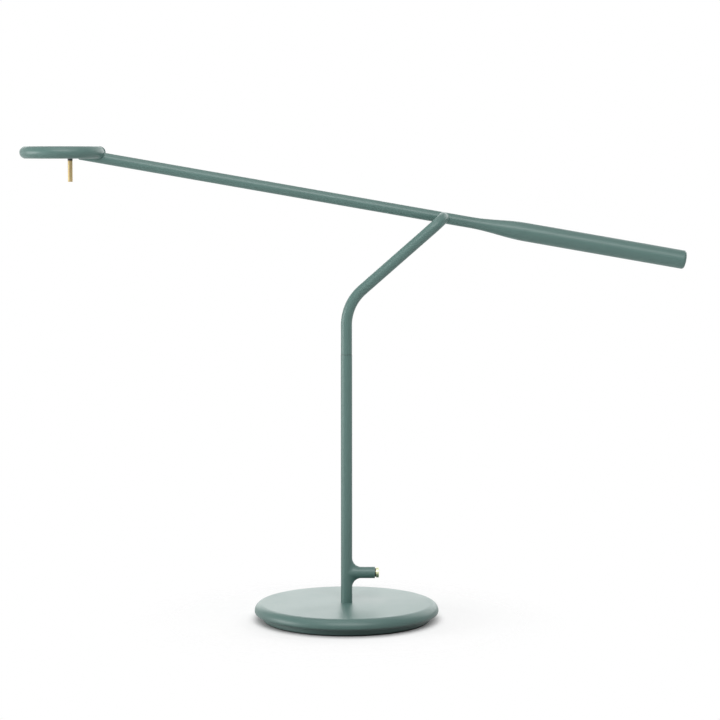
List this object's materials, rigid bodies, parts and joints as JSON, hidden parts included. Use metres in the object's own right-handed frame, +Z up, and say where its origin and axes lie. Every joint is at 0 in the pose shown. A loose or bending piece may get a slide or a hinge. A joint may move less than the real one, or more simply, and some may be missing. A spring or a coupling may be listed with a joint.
{
  "type": "counterweight balance desk lamp",
  "caption": "Desk lamp with a round weighted base, a slim swivelling stem, a long balanced arm with a thick weighted handle and a small tilting disc head.",
  "frame": {"origin": "middle of the lamp's underside, on the surface that it stands on", "axes": "+Z up the stem; +X towards the weighted handle, with the head towards -X; the arm lies behind the stem, towards +Y, and the cord entry faces +Y"},
  "size_m": [0.8066, 0.2236, 0.5736],
  "materials": {
    "sage_steel": "satin powder coat, sage green, on steel",
    "sage_aluminium": "satin powder coat, sage green, on aluminium",
    "brass": "fine turned, satin",
    "bright_steel": "turned steel",
    "black_yoke": "black oxide",
    "ballast": "mill scale",
    "black_plastic": "matte moulded",
    "pale_nylon": "natural nylon",
    "black_rubber": "matte rubber",
    "opal": "opal acrylic, satin",
    "circuit": "solder resist",
    "board_metal": "white coated aluminium board",
    "diode": "phosphor"
  },
  "bodies": {
    "base": {"base_disc": "sage_steel", "base_pan": "sage_steel", "base_weight": "ballast", "foot_pad": "black_rubber", "pan_screws": "bright_steel", "driver_board": "circuit", "board_screws": "bright_steel", "cord_gland": "black_rubber", "stem_washer": "bright_steel", "stem_nut": "bright_steel", "lower_stem": "sage_steel", "stem_lead": "black_plastic", "button_ring": "black_plastic", "push_switch": "black_plastic", "swivel_bush": "black_plastic"},
    "button": {"button": "brass"},
    "upper_stem": {"upper_stem": "sage_steel", "swivel_spindle": "bright_steel", "swivel_clip": "bright_steel", "spindle_grub": "bright_steel", "elbow_insert": "bright_steel", "pivot_axle": "bright_steel", "friction_washers": "black_plastic", "cap_nut": "sage_steel"},
    "arm": {"arm_tube": "sage_aluminium", "pivot_block": "sage_aluminium", "pivot_bush": "pale_nylon", "counterweight": "ballast", "weight_retainer": "black_rubber", "end_cap": "sage_aluminium", "arm_tongue": "black_yoke", "arm_lead": "black_plastic"},
    "head": {"head_shell": "sage_aluminium", "head_yoke": "black_yoke", "yoke_screws": "bright_steel", "hinge_pin": "bright_steel", "hinge_washers": "pale_nylon", "diffuser": "opal", "led_board": "board_metal", "leds": "diode", "grip_collar": "black_plastic", "grip_pin": "brass"}
  },
  "joints": [
    {"name": "button_press", "type": "slide", "parent": "base", "child": "button", "axis": [-1, 0, 0], "range_m": [0, 0.0011], "stiffness_N_per_m": 300, "springref_m": -0.001},
    {"name": "stem_swivel", "type": "hinge", "parent": "base", "child": "upper_stem", "pos_m": [0, 0, 0.3236], "axis": [0, 0, 1], "range_deg": [-150, 150]},
    {"name": "arm_tilt", "type": "hinge", "parent": "upper_stem", "child": "arm", "pos_m": [0.1169, 0.028, 0.48749], "axis": [0, 1, 0], "range_deg": [-40, 25]},
    {"name": "head_tilt", "type": "hinge", "parent": "arm", "child": "head", "pos_m": [-0.33384, 0.028, 0.56616], "axis": [0, 1, 0], "range_deg": [-18, 45]}
  ]
}
